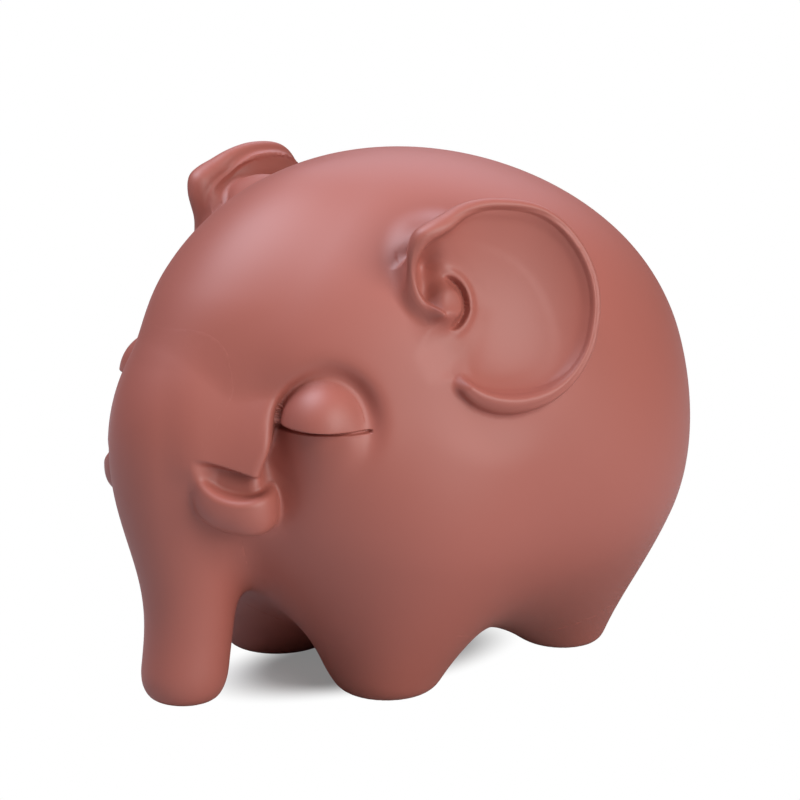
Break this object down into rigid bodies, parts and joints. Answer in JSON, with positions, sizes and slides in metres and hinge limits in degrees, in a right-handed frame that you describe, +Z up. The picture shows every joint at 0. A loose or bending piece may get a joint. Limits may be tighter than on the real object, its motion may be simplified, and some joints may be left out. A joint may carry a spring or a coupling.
{
  "type": "elephant tea pet",
  "caption": "Round hollow clay elephant that stands on short legs and its trunk, with dished ears, stub tusks and closed eyes, an ornament for a tea tray.",
  "frame": {"origin": "on the table under the middle of the elephant's bounding box", "axes": "+Z up, -Y the way the elephant faces, +X its left side"},
  "size_m": [0.0596, 0.0761, 0.0603],
  "materials": {
    "red_clay": "unglazed red clay, matt with a soft satin sheen from smoothing"
  },
  "bodies": {
    "root": {"body_shell_left": "red_clay", "body_shell_right": "red_clay", "trunk": "red_clay", "leg_front_left": "red_clay", "leg_front_right": "red_clay", "leg_rear_left": "red_clay", "leg_rear_right": "red_clay", "ear_left": "red_clay", "ear_right": "red_clay", "eyelid_left": "red_clay", "eyelid_right": "red_clay", "tusk_left": "red_clay", "tusk_right": "red_clay", "tail": "red_clay"}
  },
  "joints": []
}
